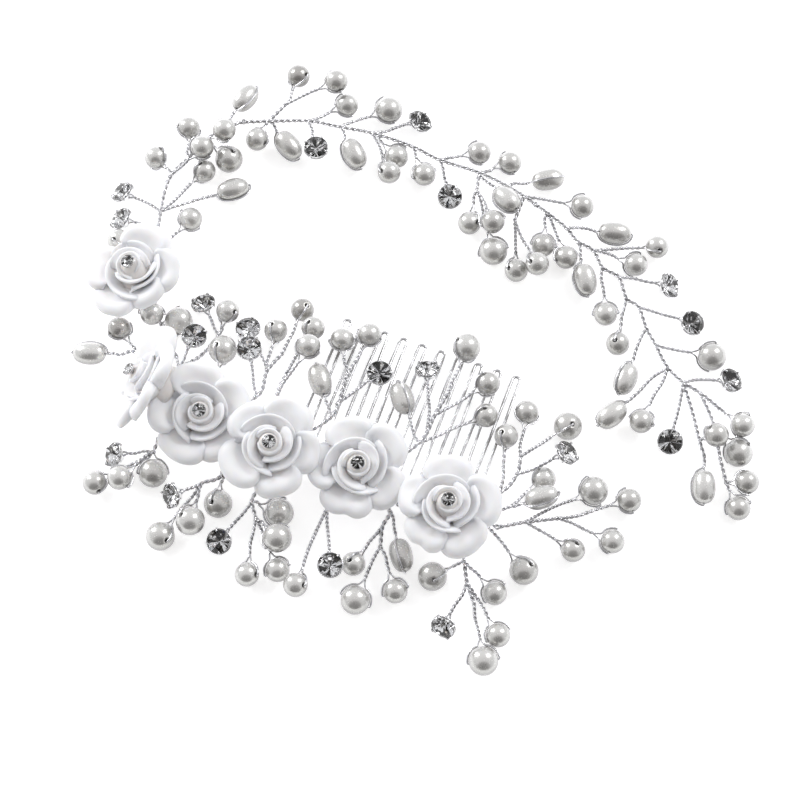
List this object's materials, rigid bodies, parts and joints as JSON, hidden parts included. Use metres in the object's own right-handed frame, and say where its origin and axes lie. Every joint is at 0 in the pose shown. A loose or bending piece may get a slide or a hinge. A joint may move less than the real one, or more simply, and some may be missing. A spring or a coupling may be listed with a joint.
{
  "type": "flower hair comb",
  "caption": "Bridal wire hair comb with clay roses, pearl and crystal sprays on twisted twigs, and a long curved vine that bends.",
  "frame": {"origin": "middle of the comb's spine, halfway between its two rods and midway along the row of teeth", "axes": "+X along the spine, +Y along the teeth towards their tips, +Z out of the comb towards the flowers"},
  "size_m": [0.1508, 0.1155, 0.0202],
  "materials": {
    "comb_wire": "bright drawn wire, fine lengthwise draw lines",
    "twisted_wire": "bright silver-coloured wire, two strands twisted together",
    "round_pearl": "pearl lacquer, soft grey and cream lustre",
    "rice_pearl": "pearl lacquer on a long bead",
    "crystal": "clear, cut in flat facets, foiled behind",
    "claw_cup": "polished stamped cup with claws",
    "clay": "soft satin white polymer clay"
  },
  "bodies": {
    "comb": {"comb_teeth": "comb_wire", "comb_spine": "comb_wire", "spine_binding": "comb_wire", "crown_stems": "twisted_wire", "crown_twigs": "twisted_wire", "crown_pearls": "round_pearl", "crown_large_pearls": "round_pearl", "crown_rice_pearls": "rice_pearl", "crown_crystals": "crystal", "crown_cups": "claw_cup", "rose_2": "clay", "rose_3": "clay", "rose_4": "clay", "rose_5": "clay", "rose_6": "clay", "rose_crystals": "crystal", "rose_cups": "claw_cup"},
    "vine_1": {"vine_1_stem": "twisted_wire", "vine_1_twigs": "twisted_wire", "vine_1_pearls": "round_pearl", "vine_1_large_pearls": "round_pearl", "vine_1_rice_pearls": "rice_pearl", "vine_1_crystals": "crystal", "vine_1_cups": "claw_cup", "rose_1": "clay", "rose_1_crystal": "crystal", "rose_1_cup": "claw_cup"},
    "vine_2": {"vine_2_stem": "twisted_wire", "vine_2_twigs": "twisted_wire", "vine_2_pearls": "round_pearl", "vine_2_large_pearls": "round_pearl", "vine_2_rice_pearls": "rice_pearl", "vine_2_crystals": "crystal", "vine_2_cups": "claw_cup"},
    "vine_3": {"vine_3_stem": "twisted_wire", "vine_3_twigs": "twisted_wire", "vine_3_pearls": "round_pearl", "vine_3_large_pearls": "round_pearl", "vine_3_rice_pearls": "rice_pearl", "vine_3_crystals": "crystal", "vine_3_cups": "claw_cup"},
    "right_spray": {"right_spray_wires": "twisted_wire", "right_spray_pearls": "round_pearl", "right_spray_large_pearl": "round_pearl"},
    "lower_right_spray": {"lower_right_spray_wires": "twisted_wire", "lower_right_spray_pearls": "round_pearl", "lower_right_spray_large_pearls": "round_pearl", "lower_right_spray_crystal": "crystal", "lower_right_spray_cup": "claw_cup"},
    "lower_left_spray": {"lower_left_spray_wires": "twisted_wire", "lower_left_spray_pearls": "round_pearl", "lower_left_spray_large_pearls": "round_pearl", "lower_left_spray_crystal": "crystal", "lower_left_spray_cup": "claw_cup"},
    "left_spray": {"left_spray_wires": "twisted_wire", "left_spray_pearls": "round_pearl", "left_spray_large_pearl": "round_pearl", "left_spray_crystal": "crystal", "left_spray_cup": "claw_cup"}
  },
  "joints": [
    {"name": "vine_1_bend", "type": "hinge", "parent": "comb", "child": "vine_1", "pos_m": [-0.05, 0.014, -0.0015], "axis": [0, 0, 1], "range_deg": [-2, 9]},
    {"name": "vine_2_bend", "type": "hinge", "parent": "vine_1", "child": "vine_2", "pos_m": [-0.056, 0.069, 0.001], "axis": [0, 0, 1], "range_deg": [-1, 18]},
    {"name": "vine_3_bend", "type": "hinge", "parent": "vine_2", "child": "vine_3", "pos_m": [0.01, 0.072, 0.001], "axis": [0, 0, 1], "range_deg": [-1, 12]},
    {"name": "right_spray_bend", "type": "hinge", "parent": "comb", "child": "right_spray", "pos_m": [0.026, 0.001, 0.001], "axis": [0, 0, 1], "range_deg": [-12, 4]},
    {"name": "lower_right_spray_bend", "type": "hinge", "parent": "comb", "child": "lower_right_spray", "pos_m": [0.02, -0.005, 0.001], "axis": [0, 0, 1], "range_deg": [-6, 3]},
    {"name": "lower_left_spray_bend", "type": "hinge", "parent": "comb", "child": "lower_left_spray", "pos_m": [-0.023, -0.008, 0.001], "axis": [0, 0, 1], "range_deg": [-3, 6]},
    {"name": "left_spray_bend", "type": "hinge", "parent": "comb", "child": "left_spray", "pos_m": [-0.046, -0.005, 0.001], "axis": [0, 0, 1], "range_deg": [-12, 12]}
  ]
}
